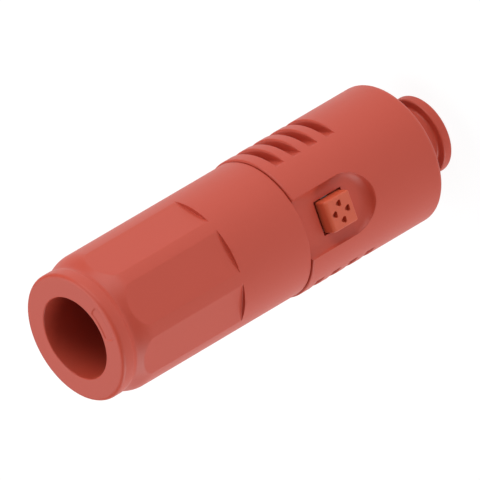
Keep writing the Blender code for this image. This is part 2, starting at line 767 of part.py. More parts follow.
def strain_relief_claw(finish):
    """A ring with fingers that the tail's mouth closes on the cable as the nut is tightened."""
    slope = MOUTH_CONE_RISE / MOUTH_CONE_DEPTH
    top_radius = claw_tip_radius + slope * (tail_top - claw_low)
    corners = [
        (claw_bore, claw_high, EDGE_SOFT),
        (claw_ring_radius, claw_high, EDGE_SOFT),
        (claw_ring_radius, claw_ring_low, EDGE_SOFT),
        (top_radius, claw_ring_low),
        (top_radius, tail_top),
        (claw_tip_radius, claw_low, EDGE_SOFT),
        (claw_bore, claw_low, EDGE_SOFT),
    ]
    claw = turned("strain_relief_claw", corners, STEPS_MEDIUM, finish, segments=1)
    for number in range(CLAW_FINGERS // 2):
        low = (-CUT_BEYOND * claw_ring_radius, -CLAW_SLOT / 2, claw_low - CLAW_SLOT)
        high = (CUT_BEYOND * claw_ring_radius, CLAW_SLOT / 2, claw_ring_low - CLAW_SLOT_END)
        slot = boxes("claw_slot_cutter_" + str(number + 1), [(low, high)])
        slot.rotation_euler = (0.0, 0.0, math.pi * (number + 0.5) / (CLAW_FINGERS // 2))
        combine(claw, slot)
    smooth(claw)


def shoulder_outline():
    """The soft shoulder between the collar's waist and the nut's full radius, going down."""
    top = nut_high - COLLAR_LENGTH - SHOULDER_STEP
    start = collar_radius - SHOULDER_STEP
    rise = nut_radius - start
    points = []
    for i in range(SHOULDER_STEPS + 1):
        share = i / SHOULDER_STEPS
        points.append((start + rise * math.sin(share * math.pi / 2), top - SHOULDER_LENGTH * share))
    return points


def gland_nut(finish):
    seal_seat = tail_radius + SEAT_GAP + 2 * NUT_SEAL_SECTION + SEAT_GAP
    corners = [
        (cable_bore, nut_high, EDGE_SMALL),
        (collar_radius, nut_high, COLLAR_ROUND),
        (collar_radius, nut_high - COLLAR_LENGTH),
        *shoulder_outline(),
        (nut_radius, nut_low, EDGE_SOFT),
        (seal_seat, nut_low),
        (seal_seat, nut_low + NUT_SEAL_SEAT_DEPTH),
        (nut_bore, nut_low + NUT_SEAL_SEAT_DEPTH + seal_seat - nut_bore),
        (nut_bore, nut_shoulder),
        (cable_bore, nut_shoulder, EDGE_SMALL),
    ]
    nut = turned("gland_nut", corners, STEPS_LARGE, finish)
    for number in range(NUT_FLATS):
        low = (nut_flat_reach, -nut_radius, nut_low + NUT_FLAT_END)
        high = (CUT_BEYOND * nut_radius, nut_radius, nut_high - COLLAR_LENGTH / 2)
        flat = boxes("flat_cutter_" + str(number + 1), [(low, high)])
        turn = -90.0 + NUT_FLAT_TURN + 360.0 * number / NUT_FLATS
        flat.rotation_euler = (0.0, 0.0, math.radians(turn))
        combine(nut, flat)
    middle = -90.0 + NUT_FLAT_TURN
    start = middle - END_RECESS_SPAN / 2
    end = middle + END_RECESS_SPAN / 2
    outline = arc(end_recess_outer, start, end, RECESS_STEPS) + arc(end_recess_inner, end, start, RECESS_STEPS)
    recess = flat_solid("end_recess_cutter", [outline], 2 * END_RECESS_DEPTH, hidden=True)
    recess.location = (0.0, 0.0, nut_high)
    combine(nut, recess)
    smooth(nut)


def round_seals(rubber):
    low, high, _ = insulator_seal_place()
    insulator_ring = ring_section(
        flange_radius - INSULATOR_SEAL_SECTION, (low + high) / 2, INSULATOR_SEAL_SECTION
    )
    seal_middle, seal_floor = contact_seal_place()
    contact_ring = ring_section(
        seal_floor + CONTACT_SEAL_SECTION, seal_middle, CONTACT_SEAL_SECTION
    )
    nut_ring = ring_section(
        tail_radius + SEAT_GAP + NUT_SEAL_SECTION, nut_low + NUT_SEAL_SECTION, NUT_SEAL_SECTION
    )
    for name, outline, steps in (
        ("contact_seal_ring", contact_ring, STEPS_SMALL),
        ("insulator_seal_ring", insulator_ring, STEPS_MEDIUM),
        ("nut_seal_ring", nut_ring, STEPS_MEDIUM),
    ):
        smooth(turned(name, outline, steps, rubber), SEAL_SMOOTH_ANGLE)


def build():
    clear_scene()
    red_nylon = material("red nylon", (0.62, 0.075, 0.045), 0.45)
    orange_nylon = material("orange red nylon", (0.70, 0.095, 0.050), 0.42)
    grey_nylon = material("grey nylon", (0.30, 0.31, 0.32), 0.5)
    spring_steel = material("spring steel", (0.55, 0.56, 0.58), 0.3, 1.0)
    silver = material("silver plate", (0.82, 0.82, 0.80), 0.25, 1.0)
    gold = material("gold plated strip", (0.83, 0.62, 0.28), 0.25, 1.0)
    rubber = material("black rubber", (0.03, 0.03, 0.03), 0.7)

    body_shell(red_nylon)
    nose_insulator(red_nylon)
    socket_contact(silver)
    contact_grid(gold)
    washer(
        "grid_collar",
        PIN_RADIUS + SEAT_GAP,
        socket_bore - PRESS_GAP,
        GRID_START - SEAT_GAP - GRID_COLLAR_LENGTH,
        GRID_START - SEAT_GAP,
        STEPS_SMALL,
        silver,
    )
    clip_outer = contact_recess + CLIP_DEPTH
    clip_inner = crimp_radius + SEAT_GAP
    open_ring(
        "contact_clip", clip_inner, clip_outer, clip_low, clip_high, CLIP_OPENING, STEPS_SMALL, spring_steel
    )
    insulator_lock_ring(grey_nylon)
    latch_guide(grey_nylon)
    latch_plate(spring_steel)
    latch_spring(spring_steel)
    release_button(orange_nylon)
    circlip_outer = front_bore + CIRCLIP_GROOVE_DEPTH - PRESS_GAP
    open_ring(
        "guide_circlip",
        circlip_outer - CIRCLIP_SIZE,
        circlip_outer,
        circlip_low,
        circlip_high,
        CIRCLIP_OPENING,
        STEPS_MEDIUM,
        spring_steel,
    )
    washer(
        "interface_seal",
        neck_hole + SEAT_GAP,
        tip_bore - SEAT_GAP,
        cavity_end - SEAT_GAP - FACE_SEAL_THICKNESS,
        cavity_end - SEAT_GAP,
        STEPS_MEDIUM,
        rubber,
    )
    round_seals(rubber)
    washer(
        "seal_support_washer",
        cable_seal_bore,
        seal_bore - SEAT_GAP,
        support_low,
        support_high,
        STEPS_MEDIUM,
        grey_nylon,
    )
    cable_seal(rubber)
    strain_relief_claw(grey_nylon)
    washer(
        "thrust_washer", claw_bore, claw_ring_radius, thrust_low, thrust_high, STEPS_MEDIUM, grey_nylon
    )
    gland_nut(red_nylon)


build()
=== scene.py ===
import json
import math

import bmesh
import bpy
import numpy as np
from mathutils import Matrix, Vector

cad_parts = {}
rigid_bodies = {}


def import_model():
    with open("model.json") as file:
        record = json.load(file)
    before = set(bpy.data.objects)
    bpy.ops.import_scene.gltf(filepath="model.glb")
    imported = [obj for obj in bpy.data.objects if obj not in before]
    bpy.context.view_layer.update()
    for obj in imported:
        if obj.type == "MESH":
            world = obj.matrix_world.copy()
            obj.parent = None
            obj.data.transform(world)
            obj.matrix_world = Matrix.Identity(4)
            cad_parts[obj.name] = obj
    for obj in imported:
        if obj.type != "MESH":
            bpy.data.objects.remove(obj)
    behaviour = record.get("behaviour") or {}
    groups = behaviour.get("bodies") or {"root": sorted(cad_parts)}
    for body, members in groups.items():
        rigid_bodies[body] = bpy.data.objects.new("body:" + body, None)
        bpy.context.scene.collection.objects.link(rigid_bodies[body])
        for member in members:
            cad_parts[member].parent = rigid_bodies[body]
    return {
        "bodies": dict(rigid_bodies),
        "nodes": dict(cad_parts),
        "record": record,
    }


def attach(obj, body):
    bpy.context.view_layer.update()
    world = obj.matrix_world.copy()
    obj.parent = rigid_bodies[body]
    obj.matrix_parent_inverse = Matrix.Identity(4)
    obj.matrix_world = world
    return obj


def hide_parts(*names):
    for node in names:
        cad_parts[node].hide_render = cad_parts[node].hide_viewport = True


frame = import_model()
nodes = frame["nodes"]

# Everything that Blender opens with goes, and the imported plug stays.
for leftover in list(bpy.data.objects):
    if leftover.name not in nodes and leftover.name not in [e.name for e in frame["bodies"].values()]:
        bpy.data.objects.remove(leftover, do_unlink=True)

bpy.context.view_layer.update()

MM = 0.001
SMOOTH_ANGLE = 40.0


def rounded(corners, segments=5):
    """A closed outline from corners (radius, height) or (radius, height, rounding), in millimetres."""
    points = []
    for i, corner in enumerate(corners):
        here = np.array(corner[:2], float)
        rounding = corner[2] if len(corner) > 2 else 0.0
        if rounding <= 0.0:
            points.append(tuple(here))
            continue
        to_before = np.array(corners[i - 1][:2]) - here
        to_after = np.array(corners[(i + 1) % len(corners)][:2]) - here
        a = math.atan2(to_before[1], to_before[0])
        b = math.atan2(to_after[1], to_after[0])
        opening = (b - a + math.pi) % (2 * math.pi) - math.pi
        middle = a + opening / 2
        reach = rounding / abs(math.sin(opening / 2))
        centre = here + reach * np.array([math.cos(middle), math.sin(middle)])
        sweep = math.copysign(math.pi - abs(opening), opening)
        for k in range(segments + 1):
            turn = middle + math.pi + sweep * (0.5 - k / segments)
            points.append((centre[0] + rounding * math.cos(turn), centre[1] + rounding * math.sin(turn)))
    return points


def new_object(name, data):
    """A new object in the scene's own collection."""
    made = bpy.data.objects.new(name, data)
    bpy.context.scene.collection.objects.link(made)
    return made


def add_piece(name, verts, faces, finish, smooth_angle=SMOOTH_ANGLE):
    mesh = bpy.data.meshes.new(name)
    mesh.from_pydata([tuple(v) for v in np.asarray(verts) * MM], [], [tuple(f) for f in faces])
    mesh.validate()
    mesh.materials.append(finish)
    mesh.shade_smooth()
    mesh.set_sharp_from_angle(angle=math.radians(smooth_angle))
    return new_object(name, mesh)


def wrap(name, outline, angles, finish, shape=None, smooth_angle=SMOOTH_ANGLE):
    """Spins a closed outline over the given angles. shape moves the points off the plain turned form."""
    outline = np.array(outline, float)
    angles = np.asarray(angles, float)
    rows, columns = len(outline), len(angles)
    radius = np.repeat(outline[:, :1], columns, axis=1)
    height = np.repeat(outline[:, 1:], columns, axis=1)
    turn = np.repeat(angles[None, :], rows, axis=0)
    if shape is not None:
        radius, height = shape(radius, height, turn)
    verts = np.stack([radius * np.cos(turn), radius * np.sin(turn), height], axis=-1).reshape(-1, 3)
    i, j = np.meshgrid(np.arange(rows), np.arange(columns), indexing="ij")
    down, along = (i + 1) % rows, (j + 1) % columns
    corners = (i * columns + j, down * columns + j, down * columns + along, i * columns + along)
    faces = np.stack(corners, axis=-1).reshape(-1, 4)
    return add_piece(name, verts, faces, finish, smooth_angle)


def even_turn(count):
    return np.arange(count) * 2 * math.pi / count


def turned(name, corners, finish, count=160, segments=4):
    return wrap(name, rounded(corners, segments), even_turn(count), finish)


def arc(radius, shift, start, end, count):
    """Points on an arc round a centre that is moved along Y, with the angles in degrees."""
    angles = np.radians(np.linspace(start, end, count))
    return [(radius * math.cos(a), shift + radius * math.sin(a)) for a in angles]


def cut_box(low, high):
    """A box that cuts a window, in millimetres."""
    shape = bmesh.new()
    cube = bmesh.ops.create_cube(shape, size=1.0)["verts"]
    bmesh.ops.scale(shape, vec=[(b - a) * MM for a, b in zip(low, high)], verts=cube)
    bmesh.ops.translate(shape, vec=[(a + b) / 2 * MM for a, b in zip(low, high)], verts=cube)
    mesh = bpy.data.meshes.new("cutter")
    shape.to_mesh(mesh)
    shape.free()
    return new_object("cutter", mesh)


def cut_prism(outline, low, high):
    """A straight sided cutter from an outline in X and Y."""
    count = len(outline)
    verts = [(x * MM, y * MM, z * MM) for z in (low, high) for x, y in outline]
    sides = [(k, (k + 1) % count, count + (k + 1) % count, count + k) for k in range(count)]
    mesh = bpy.data.meshes.new("cutter")
    ends = [tuple(range(count))[::-1], tuple(range(count, 2 * count))]
    mesh.from_pydata(verts, [], ends + sides)
    return new_object("cutter", mesh)


def carve(piece, cutters):
    """Cuts the cutters out of the piece and keeps the result as its mesh."""
    for cutter in cutters:
        step = piece.modifiers.new("cut", "BOOLEAN")
        step.operation = "DIFFERENCE"
        step.solver = "EXACT"
        step.object = cutter
    graph = bpy.context.evaluated_depsgraph_get()
    mesh = bpy.data.meshes.new_from_object(piece.evaluated_get(graph))
    piece.modifiers.clear()
    piece.data = mesh
    mesh.shade_smooth()
    mesh.set_sharp_from_angle(angle=math.radians(SMOOTH_ANGLE))
    for cutter in cutters:
        bpy.data.objects.remove(cutter, do_unlink=True)


def soft_min(a, b, blend):
    """The lower of two surfaces, with the edge where they meet rolled over."""
    share = np.clip(0.5 + 0.5 * (b - a) / blend, 0.0, 1.0)
    return b * (1 - share) + a * share - blend * share * (1 - share)


def soft_step(value):
    value = np.clip(value, 0.0, 1.0)
    return value * value * (3 - 2 * value)


def spaced(start, end, longest):
    count = max(1, int(math.ceil(abs(end - start) / longest)))
    return [start + (end - start) * k / count for k in range(count + 1)]


def merged(values, closest=1e-4):
    """Sorted numbers with the ones that nearly coincide dropped."""
    kept = []
    for value in sorted(values):
        if not kept or value - kept[-1] > closest:
            kept.append(value)
    return kept


def turns_near(middles, half, fine, coarse):
    """Angles all the way round, fine close to the middles and coarse elsewhere, in radians."""
    degrees = [k * coarse for k in range(int(360 / coarse))]
    for middle in middles:
        count = int(round(2 * half / fine))
        degrees += [(middle - half + 2 * half * k / count) % 360.0 for k in range(count + 1)]
    kept = merged([d for d in degrees if d < 359.98], 0.3 * fine)
    return np.radians(kept)


def finer_turns(turns, middles, reach, step, closest):
    """The angles with more of them near the middles, which are in degrees, and near doubles dropped."""
    offsets = np.arange(-reach, reach + 0.01, step)
    extra = [math.radians((middle + offset) % 360.0) for middle in middles for offset in offsets]
    return np.array(merged(list(turns) + extra, math.radians(closest)))


def angle_off(turn, middle):
    """How far the angles are from a middle in degrees, round the shorter way."""
    return np.abs((turn - math.radians(middle) + math.pi) % (2 * math.pi) - math.pi)


THREAD_PITCH = 3.0
THREAD_STEPS = 60
THREAD_RUN_OUT = 12
# Across the ridge: how far along the axis, and the share of its height.
THREAD_SECTION = [(-0.98, 0.0), (-0.52, 1.0), (0.52, 1.0), (0.98, 0.0)]


def helical_ridge(name, root, crest, low, high, finish):
    """A right hand thread as one ridge that runs out at both ends."""
    count = int((high - low) / THREAD_PITCH * THREAD_STEPS)
    verts = []
    for k in range(count + 1):
        turn = 2 * math.pi * k / THREAD_STEPS
        fade = min(1.0, k / THREAD_RUN_OUT, (count - k) / THREAD_RUN_OUT)
        height = low + THREAD_PITCH * k / THREAD_STEPS
        for offset, share in THREAD_SECTION:
            radius = root + (crest - root) * (share * fade + 0.02 * (1 - fade) - (1 - share) * 0.05)
            verts.append((radius * math.cos(turn), radius * math.sin(turn), height + offset))
    faces = []
    for k in range(count):
        for step in range(3):
            a = 4 * k + step
            faces.append((a, a + 4, a + 5, a + 1) if crest > root else (a, a + 1, a + 5, a + 4))
    return add_piece(name, verts, faces, finish, 60.0)


def join(keeper, extra):
    """Adds another mesh to a piece, so that a moulding stays one piece."""
    shape = bmesh.new()
    shape.from_mesh(keeper.data)
    shape.from_mesh(extra.data)
    shape.to_mesh(keeper.data)
    shape.free()
    bpy.data.objects.remove(extra, do_unlink=True)


class Value:
    """One output socket. Arithmetic on it adds the Math nodes."""

    def __init__(self, finish, socket):
        self.finish = finish
        self.socket = socket

    def _math(self, operation, first, second):
        return self.finish.node("ShaderNodeMath", {"operation": operation}, {0: first, 1: second})

    def __add__(self, other):
        return self._math("ADD", self, other)

    __radd__ = __add__

    def __mul__(self, other):
        return self._math("MULTIPLY", self, other)

    __rmul__ = __mul__


class Finish:
    """A material that is built one node at a time."""

    def __init__(self, name):
        self.material = bpy.data.materials.new(name)
        self.material.use_nodes = True
        self.tree = self.material.node_tree
        self.tree.nodes.clear()
        self.output = self.tree.nodes.new("ShaderNodeOutputMaterial")

    def node(self, kind, settings=None, sockets=None, output=0):
        made = self.tree.nodes.new(kind)
        for key, value in (settings or {}).items():
            setattr(made, key, value)
        for key, value in (sockets or {}).items():
            if isinstance(value, Value):
                self.tree.links.new(value.socket, made.inputs[key])
            elif isinstance(value, tuple) and len(value) == 3 and made.inputs[key].type == "RGBA":
                made.inputs[key].default_value = (*value, 1.0)
            else:
                made.inputs[key].default_value = value
        return Value(self, made.outputs[output])

    def place(self):
        return self.node("ShaderNodeTexCoord", {}, {}, "Object")

    def noise(self, scale, detail=2.0, roughness=0.5, vector=None):
        sockets = {"Vector": vector or self.place(), "Scale": scale, "Detail": detail, "Roughness": roughness}
        return self.node("ShaderNodeTexNoise", {}, sockets, "Fac")

    def blend(self, factor, first, second):
        return self.node("ShaderNodeMix", {"data_type": "RGBA"}, {0: factor, 6: first, 7: second}, 2)

    def bump(self, height, strength, distance):
        return self.node("ShaderNodeBump", {}, {"Height": height, "Strength": strength, "Distance": distance})

    def surface(self, **sockets):
        named = {key.replace("_", " "): value for key, value in sockets.items()}
        shader = self.node("ShaderNodeBsdfPrincipled", {}, named)
        self.tree.links.new(shader.socket, self.output.inputs["Surface"])
        return self.material


def moulded_nylon(name, colour, pale, deep, roughness=0.44, grain=0.35):
    """Filled nylon from the mould: a fine even grain, cloudy colour and a satin skin."""
    finish = Finish(name)
    clouds = finish.noise(90.0, 4.0, 0.6)
    speckle = finish.noise(2600.0, 2.0, 0.6)
    cloudy = finish.blend(clouds * 0.55 + 0.05, colour, pale)
    tinted = finish.blend(speckle * 0.22, cloudy, deep)
    skin = finish.noise(1400.0, 3.0, 0.55)
    return finish.surface(
        Base_Color=tinted,
        Roughness=clouds * 0.08 + (roughness - 0.04) + speckle * 0.05,
        Normal=finish.bump(skin * 0.7 + speckle * 0.3, grain, 0.00004),
        IOR=1.48,
    )


def sprung_steel(name):
    """Stamped stainless strip with faint rolling lines, its colour kept dark as painted shade for the parts
    inside the plug.
    """
    finish = Finish(name)
    stretched = finish.node(
        "ShaderNodeMapping", {}, {"Vector": finish.place(), "Scale": (9000.0, 300.0, 9000.0)}
    )
    lines = finish.noise(1.0, 3.0, 0.6, stretched)
    return finish.surface(
        # Painted shade: the base colour is darkened below a plain stainless grey to stand in for the shade
        # the steel sits in.
        Base_Color=finish.blend(lines, (0.26, 0.26, 0.27), (0.36, 0.36, 0.37)),
        Metallic=1.0,
        Roughness=lines * 0.18 + 0.24,
        Normal=finish.bump(lines, 0.2, 0.00002),
    )


def plated(name, bright, dull, roughness):
    """Plated copper, turned on a lathe, with a slight tarnish in places."""
    finish = Finish(name)
    tarnish = finish.noise(260.0, 5.0, 0.65)
    rings = finish.node(
        "ShaderNodeTexWave",
        {"wave_type": "BANDS", "bands_direction": "Z"},
        {"Vector": finish.place(), "Scale": 1500.0, "Distortion": 0.6},
        "Fac",
    )
    return finish.surface(
        Base_Color=finish.blend(tarnish * 0.8, bright, dull),
        Metallic=1.0,
        Roughness=tarnish * 0.12 + roughness,
        Normal=finish.bump(rings, 0.12, 0.00002),
    )


def moulded_rubber(name):
    """Matt silicone with a dusty bloom."""
    finish = Finish(name)
    bloom = finish.noise(420.0, 4.0, 0.6)
    return finish.surface(
        Base_Color=finish.blend(bloom * 0.7, (0.018, 0.018, 0.019), (0.045, 0.045, 0.047)),
        Roughness=bloom * 0.2 + 0.55,
        Normal=finish.bump(finish.noise(3200.0, 2.0), 0.25, 0.00003),
    )


# Each nylon has its own colour, a paler one in the clouds and a deeper one in the grain.
RED = moulded_nylon("red nylon", (0.505, 0.060, 0.031), (0.530, 0.068, 0.038), (0.445, 0.044, 0.021))
BUTTON_RED = moulded_nylon(
    "button nylon", (0.580, 0.090, 0.038), (0.605, 0.100, 0.045), (0.52, 0.070, 0.028), 0.4, 0.25
)
GREY = moulded_nylon("grey nylon", (0.13, 0.135, 0.14), (0.16, 0.165, 0.17), (0.09, 0.093, 0.096), 0.5)
# This steel's dark colour is painted shade.
SHADE_DARKENED_STEEL = sprung_steel("sprung steel")
SILVER = plated("silver plate", (0.86, 0.85, 0.82), (0.66, 0.64, 0.59), 0.2)
GOLD = plated("gold plated strip", (0.86, 0.62, 0.25), (0.74, 0.50, 0.19), 0.18)
RUBBER = moulded_rubber("black rubber")

SLOTS = {
    "red_nylon": RED,
    "orange_red_nylon": BUTTON_RED,
    "grey_nylon": GREY,
    "spring_steel": SHADE_DARKENED_STEEL,
    "silver_plate": SILVER,
    "gold_strip": GOLD,
    "black_rubber": RUBBER,
}


BODY_RADIUS = 17.0
BODY_FRONT, BODY_REAR, TAIL_TOP = 10.3, 51.15, 87.0
TAIL_RADIUS = 13.2
FRONT_BORE, TIP_BORE = 12.8, 11.1
PARTITION_BORE, REAR_BORE = 7.7, 10.2
SEAL_BORE, SEAL_SEAT = 11.3, 69.5
BUTTON_HEIGHT, BUTTON_HALF, BUTTON_FACE, BUTTON_BACK = 41.0, 3.7, 17.5, 14.0
BUTTON_TURN = 270.0
GROOVES = [(45.5, 48.0), (40.3, 42.8), (35.1, 37.6), (29.9, 32.4)]
GROOVE_FLOOR = 14.04
GROOVE_ROLL = 0.22
GROOVE_HALF_TURN = 34.3
POCKET_FLOOR = 14.4
POCKET_ROLL = 2.6
POCKET_HALF = 5.15
POCKET_END = 38.25
POCKET_RIM = 1.9
BUTTON_ROOM, BUTTON_ROOM_REAR = 0.4, 0.25
BUTTON_TOP_BEVEL, BUTTON_RIM_BEVEL = 0.95, 0.4
CHAMBER_LOW, CHAMBER_HIGH = 39.7, 42.3
PLATE_TRAVEL = 1.2
CIRCLIP_GROOVE, CIRCLIP_RADIUS = (27.5, 28.95), 13.4
GUIDE_LOW, GUIDE_HIGH = 29.1, 39.7
CAVITY_END, PARTITION_TOP = 46.4, 48.9

# A groove wall from the land to the floor: how far past the wall, and how deep. The nose side is rolled over.
NOSE_SIDE_WALL = [
    (-0.45, 0.0), (-0.30, 0.015), (-0.18, 0.05), (-0.09, 0.10), (-0.03, 0.17), (0.0, 0.26),
    (0.02, 0.76), (0.08, 0.89), (0.18, 0.97), (0.32, 1.0),
]
NUT_SIDE_WALL = [
    (-0.20, 0.0), (-0.11, 0.02), (-0.04, 0.07), (0.0, 0.16),
    (0.02, 0.78), (0.07, 0.90), (0.15, 0.97), (0.26, 1.0),
]


def groove_share(height):
    """How much of the groove's depth is reached at this height, from 0 to 1."""
    share = np.zeros_like(height)
    for low, high in GROOVES:
        nose_side = np.interp(height - low, *zip(*NOSE_SIDE_WALL))
        nut_side = np.interp(high - height, *zip(*NUT_SIDE_WALL))
        share = np.maximum(share, np.minimum(nose_side, nut_side))
    return share


def body_form(radius, height, turn):
    """Grip grooves on both sides and the thumb pocket, taken off the outer side only."""
    outer = (radius > BODY_RADIUS - 1.0) & (height > BODY_FRONT - 0.01) & (height < BODY_REAR + 0.01)
    floor = GROOVE_FLOOR / np.maximum(np.abs(np.cos(turn)), 0.2)
    grooved = soft_min(radius, floor, GROOVE_ROLL)
    carved = radius - (radius - grooved) * groove_share(height)
    off_front = turn - math.radians(BUTTON_TURN)
    facing = np.cos(off_front)
    near = (facing > 0.75) & outer
    reach = np.full_like(radius, BODY_RADIUS)
    safe = np.where(near, facing, 1.0)
    for _ in range(8):
        x = reach * np.sin(off_front)
        round_end = np.hypot(x, height - POCKET_END)
        beyond = np.where(height > POCKET_END, np.abs(x), round_end) - POCKET_HALF
        rolled = np.clip(beyond, 0.0, POCKET_ROLL)
        depth = POCKET_FLOOR + POCKET_ROLL - np.sqrt(np.maximum(POCKET_ROLL**2 - rolled**2, 0.0))
        depth = depth + np.maximum(beyond - POCKET_ROLL, 0.0) * 6.0
        reach = depth / safe
    pocketed = np.where(near, soft_min(carved, reach, POCKET_RIM), carved)
    return np.where(outer, pocketed, radius), height


def body_moulding():
    stations = spaced(BODY_FRONT + 1.4, 29.0, 1.2)
    stations += spaced(29.0, 35.0, 0.17)
    stations += spaced(35.0, BODY_REAR - 0.3, 0.42)
    for low, high in GROOVES:
        stations += [low + offset for offset, _ in NOSE_SIDE_WALL]
        stations += [high - offset for offset, _ in NUT_SIDE_WALL]
    stations = merged(stations, 0.004)[::-1][1:-1]
    top = rounded([(12.3, TAIL_TOP), (TAIL_RADIUS, TAIL_TOP, 0.4), (TAIL_RADIUS, 60.0)])[:-1]
    outline = top + [(TAIL_RADIUS, z) for z in (83.0, 79.0, 72.0, 65.0, 58.0)]
    outline += rounded([
        (TAIL_RADIUS, 52.0), (TAIL_RADIUS, BODY_REAR, 0.3),
        (BODY_RADIUS, BODY_REAR, 0.4), (BODY_RADIUS, 45.0),
    ])[1:-1]
    outline += [(BODY_RADIUS, z) for z in stations]
    outline += rounded([
        (BODY_RADIUS, 20.0), (BODY_RADIUS, BODY_FRONT, 1.4),
        (FRONT_BORE, BODY_FRONT, 0.5), (FRONT_BORE, 26.6),
    ], 8)[1:-1]
    outline += [
        (FRONT_BORE, 18.0),
        (FRONT_BORE, CIRCLIP_GROOVE[0]),
        (CIRCLIP_RADIUS, CIRCLIP_GROOVE[0]),
        (CIRCLIP_RADIUS, CIRCLIP_GROOVE[1]),
        (FRONT_BORE, CIRCLIP_GROOVE[1]),
        (FRONT_BORE, CHAMBER_HIGH),
        (TIP_BORE, CHAMBER_HIGH),
        (TIP_BORE, CAVITY_END),
        (PARTITION_BORE, CAVITY_END),
        (PARTITION_BORE, PARTITION_TOP),
        (REAR_BORE, PARTITION_TOP),
        (REAR_BORE, SEAL_SEAT),
        (SEAL_BORE, SEAL_SEAT),
        (SEAL_BORE, 79.0),
    ]
    groove_ends = [side + end for side in (0.0, 180.0) for end in (GROOVE_HALF_TURN, -GROOVE_HALF_TURN)]
    turns = finer_turns(turns_near([BUTTON_TURN], 28.0, 0.36, 1.6), groove_ends, 3.0, 0.5, 0.12)
    shell = wrap("body_moulding", outline, turns, RED, body_form)
    half = BUTTON_HALF + BUTTON_ROOM
    window_top = BUTTON_HEIGHT + half + BUTTON_ROOM_REAR
    window = cut_box((-half, -20.0, BUTTON_HEIGHT - half), (half, -12.5, window_top))
    keyway = cut_box((-5.5, TIP_BORE, BODY_FRONT - 1.5), (5.5, 14.3, CHAMBER_HIGH))
    rooms = []
    for shift in (0.0, PLATE_TRAVEL):
        outline = arc(13.64, shift, 218, 322, 41) + arc(12.8, shift - 0.6, -2.7, 182.7, 81)
        rooms.append(cut_prism(outline, CHAMBER_LOW, CHAMBER_HIGH))
    carve(shell, [window, keyway] + rooms)
    join(shell, helical_ridge("tail_thread", TAIL_RADIUS, TAIL_RADIUS + 0.5, 54.0, 85.0, RED))
    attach(shell, "root")
    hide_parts("body_shell")


NUT_RADIUS = 16.6
NUT_LOW, NUT_HIGH = 51.3, 108.3
NUT_TURN = -73.3
FLAT_STEP = 46.9
FLAT_MIDDLES = [NUT_TURN + side + step * FLAT_STEP for side in (0.0, 180.0) for step in (-1, 0, 1)]
FLAT_REACH = 15.79
FLAT_END = 71.9
# The wall at the end of a flat and the hollow at its foot: how far along the flat, and how high over it.
FLAT_END_WALL = [
    (0.0, 0.88), (0.03, -0.07), (0.10, -0.11), (0.20, -0.11),
    (0.32, -0.08), (0.46, -0.04), (0.62, -0.01), (0.80, 0.0),
]
FLAT_ROLL = 0.06
COLLAR_RADIUS = 15.5
COLLAR_LOW = 104.4
WAIST_RADIUS = 15.1
WAIST_DEPTH, WAIST_STEPS, WAIST_SPACING = 0.4, 12, 0.125
SHOULDER_DROP, SHOULDER_STEPS, SHOULDER_EASE = 4.8, 36, 0.7
RECESS_INNER, RECESS_OUTER, RECESS_HALF_TURN = 11.0, 13.6, 18.0
RECESS_DEPTH, RECESS_CORNER, RECESS_EDGE = 0.2, 0.8, 0.2
NUT_BORE, NUT_THREAD_BORE, NUT_MOUTH_BORE = 9.95, 13.9, 14.7
NUT_BORE_LOW = 93.3


def nut_form(radius, height, turn):
    """Three flats on each side that end in a hollow step, and the shallow recess in the cable end."""
    off_flat = np.full_like(turn, math.pi)
    for middle in FLAT_MIDDLES:
        off_flat = np.minimum(off_flat, angle_off(turn, middle))
    reach = FLAT_REACH + np.interp(height - FLAT_END, *zip(*FLAT_END_WALL))
    flat = reach / np.cos(np.minimum(off_flat, 1.0))
    outer = (radius > 15.0) & (height > FLAT_END) & (height < COLLAR_LOW)
    cut = np.where(outer, soft_min(radius, flat, FLAT_ROLL), radius)
    across = np.minimum(radius - RECESS_INNER, RECESS_OUTER - radius)
    half = math.radians(RECESS_HALF_TURN)
    along = (half - angle_off(turn, NUT_TURN)) * (RECESS_INNER + RECESS_OUTER) / 2
    past_across = np.maximum(RECESS_CORNER - across, 0.0)
    past_along = np.maximum(RECESS_CORNER - along, 0.0)
    inside = RECESS_CORNER - np.hypot(past_across, past_along)
    sunk = RECESS_DEPTH * soft_step((inside + RECESS_EDGE) / (2 * RECESS_EDGE))
    return cut, np.where(height > NUT_HIGH - 0.001, height - sunk, height)


